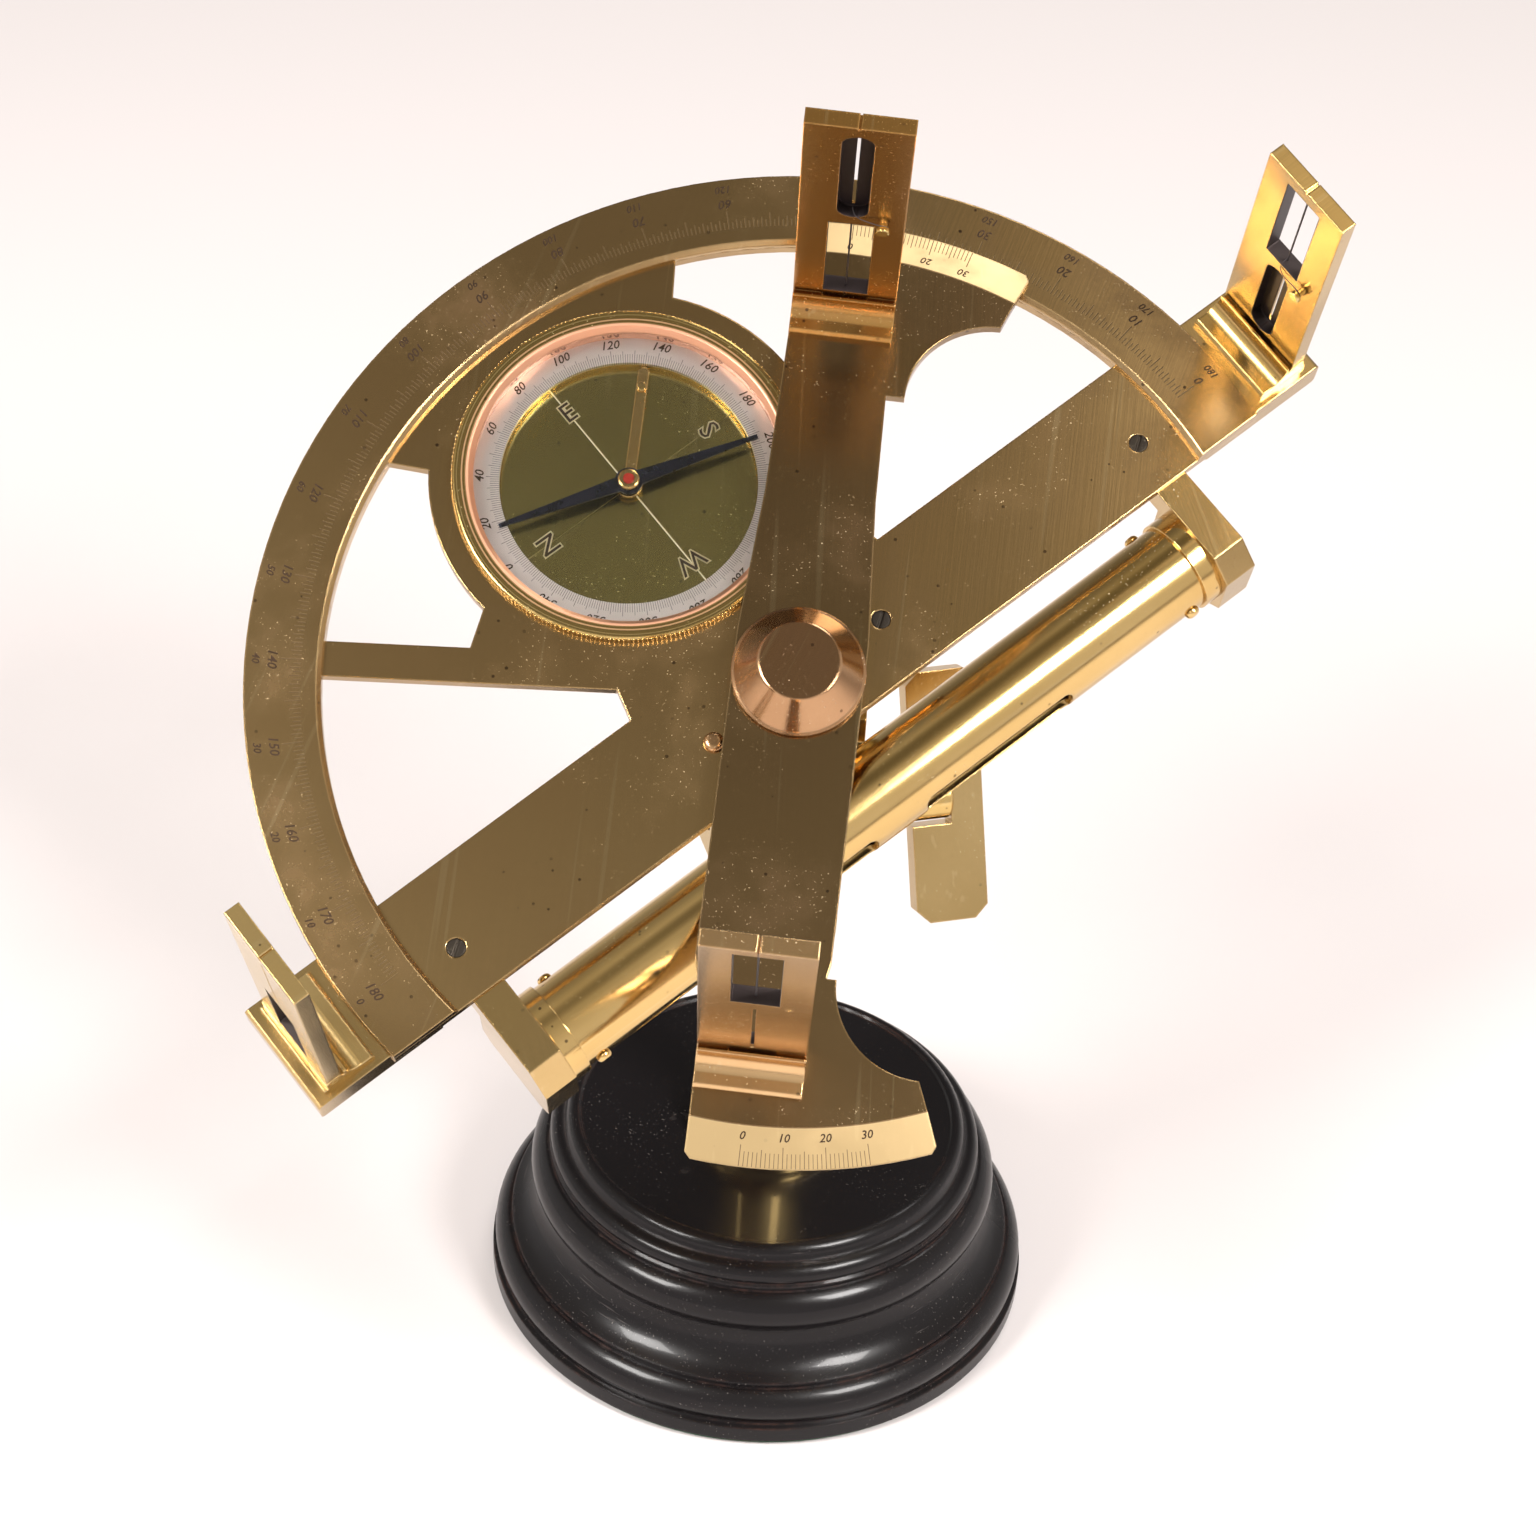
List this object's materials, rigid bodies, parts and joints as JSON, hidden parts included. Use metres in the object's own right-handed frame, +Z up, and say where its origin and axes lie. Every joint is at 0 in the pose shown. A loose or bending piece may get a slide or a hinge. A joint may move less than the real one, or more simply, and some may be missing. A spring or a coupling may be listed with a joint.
{
  "type": "graphometer on display stand",
  "caption": "Surveyor's half-circle angle instrument with compass, turning sighted alidade, spirit level and folding sights, tilting on a turned round stand.",
  "frame": {"origin": "middle of the stand's underside, on the surface it stands on", "axes": "+Z up; -Y is the front, toward the viewer; +X to the right"},
  "size_m": [0.2701, 0.2591, 0.365],
  "materials": {
    "brass_aged": "aged lacquered brass, brown and worn",
    "brass_engraved": "aged brass with engraved black scales",
    "brass_polished": "brighter brass with a soft sheen",
    "silvered": "silvered brass",
    "copper": "reddish brass",
    "glass": "clear",
    "blued_steel": "blued",
    "ruby": "polished",
    "ebonised_wood": "glossy black lacquer, worn at the edges",
    "baize": "felted",
    "iron": "plain",
    "plaster": "plain",
    "hair": "dull"
  },
  "bodies": {
    "stand": {"plinth": "ebonised_wood", "baize_pad": "baize", "fixing_washer": "iron", "fixing_nut": "iron", "pillar": "brass_aged"},
    "yoke": {"yoke": "brass_aged", "tilt_pin": "brass_aged", "tilt_nut": "brass_aged"},
    "clamp": {"clamp_screw": "brass_aged", "clamp_wing": "brass_aged"},
    "tilting_head": {"tilt_head": "brass_aged"},
    "turn_clamp": {"turn_screw": "brass_aged"},
    "instrument": {"boss": "brass_aged", "frame_plate": "brass_aged", "limb": "brass_engraved", "end_block_left": "brass_engraved", "end_block_right": "brass_engraved", "washer": "brass_aged", "pivot_stud": "brass_aged", "boss_screws": "blued_steel", "level_block_left": "brass_aged", "level_block_right": "brass_aged", "level_block_screws": "blued_steel", "level_tube": "brass_polished", "tube_collars": "brass_polished", "tube_screws": "brass_aged", "vial": "glass", "vial_plugs": "plaster", "compass_box": "brass_aged", "compass_dial": "silvered", "compass_ring": "silvered", "spacer_ring": "copper", "compass_glass": "glass", "bezel": "brass_aged", "pivot_post": "blued_steel", "lifter": "brass_polished", "lifter_screw": "brass_aged", "foot_left": "brass_aged", "foot_right": "brass_aged", "hinge_pins_bar": "brass_aged"},
    "knob": {"knob": "brass_aged"},
    "alidade": {"alidade_bar": "brass_engraved", "foot_far": "brass_aged", "foot_near": "brass_aged", "hinge_pins_alidade": "brass_aged"},
    "needle": {"needle": "blued_steel", "needle_cap": "brass_polished", "needle_jewel": "ruby"},
    "sight_far": {"sight_far": "brass_polished", "hair_far": "hair", "peg_far": "brass_aged"},
    "sight_near": {"sight_near": "brass_polished", "hair_near": "hair", "peg_near": "brass_aged"},
    "sight_left": {"sight_left": "brass_polished", "hair_left": "hair", "peg_left": "brass_aged"},
    "sight_right": {"sight_right": "brass_polished", "hair_right": "hair", "peg_right": "brass_aged"}
  },
  "joints": [
    {"name": "swivel", "type": "hinge", "parent": "stand", "child": "yoke", "pos_m": [0, 0, 0.16], "axis": [0, 0, 1], "continuous": true},
    {"name": "clamp_turn", "type": "hinge", "parent": "yoke", "child": "clamp", "pos_m": [0, 0, 0.161], "axis": [0.9537, 0.3007, 0], "range_deg": [-90, 60]},
    {"name": "tilt", "type": "hinge", "parent": "yoke", "child": "tilting_head", "pos_m": [0, 0, 0.1913], "axis": [1, 0, 0], "range_deg": [-36, 33]},
    {"name": "turn_clamp_turn", "type": "hinge", "parent": "tilting_head", "child": "turn_clamp", "pos_m": [0, -0.00088, 0.21275], "axis": [0, 0.8056, 0.5924], "range_deg": [-180, 90]},
    {"name": "plate_turn", "type": "hinge", "parent": "tilting_head", "child": "instrument", "pos_m": [0, -0.02014, 0.21869], "axis": [0, -0.5924, 0.8056], "continuous": true},
    {"name": "alidade_turn", "type": "hinge", "parent": "instrument", "child": "alidade", "pos_m": [0, -0.02014, 0.21869], "axis": [0, -0.5924, 0.8056], "continuous": true},
    {"name": "knob_turn", "type": "hinge", "parent": "instrument", "child": "knob", "pos_m": [0, -0.02548, 0.22594], "axis": [0, -0.5924, 0.8056], "range_deg": [-30, 150]},
    {"name": "needle_spin", "type": "hinge", "parent": "instrument", "child": "needle", "pos_m": [-0.04713, 0.02565, 0.24492], "axis": [0, -0.5924, 0.8056], "continuous": true},
    {"name": "sight_far_fold", "type": "hinge", "parent": "alidade", "child": "sight_far", "pos_m": [0.00533, 0.05835, 0.28659], "axis": [-0.9987, 0.0415, 0.0305], "range_deg": [0, 88]},
    {"name": "sight_near_fold", "type": "hinge", "parent": "alidade", "child": "sight_near", "pos_m": [-0.00503, -0.10361, 0.16749], "axis": [-0.9987, 0.0415, 0.0305], "range_deg": [0, 84]},
    {"name": "sight_right_fold", "type": "hinge", "parent": "instrument", "child": "sight_right", "pos_m": [0.11461, 0.06065, 0.2827], "axis": [-0.6685, 0.5992, 0.4406], "range_deg": [0, 88]},
    {"name": "sight_left_fold", "type": "hinge", "parent": "instrument", "child": "sight_left", "pos_m": [-0.11461, -0.10532, 0.16064], "axis": [0.6685, -0.5992, -0.4406], "range_deg": [0, 88]}
  ]
}
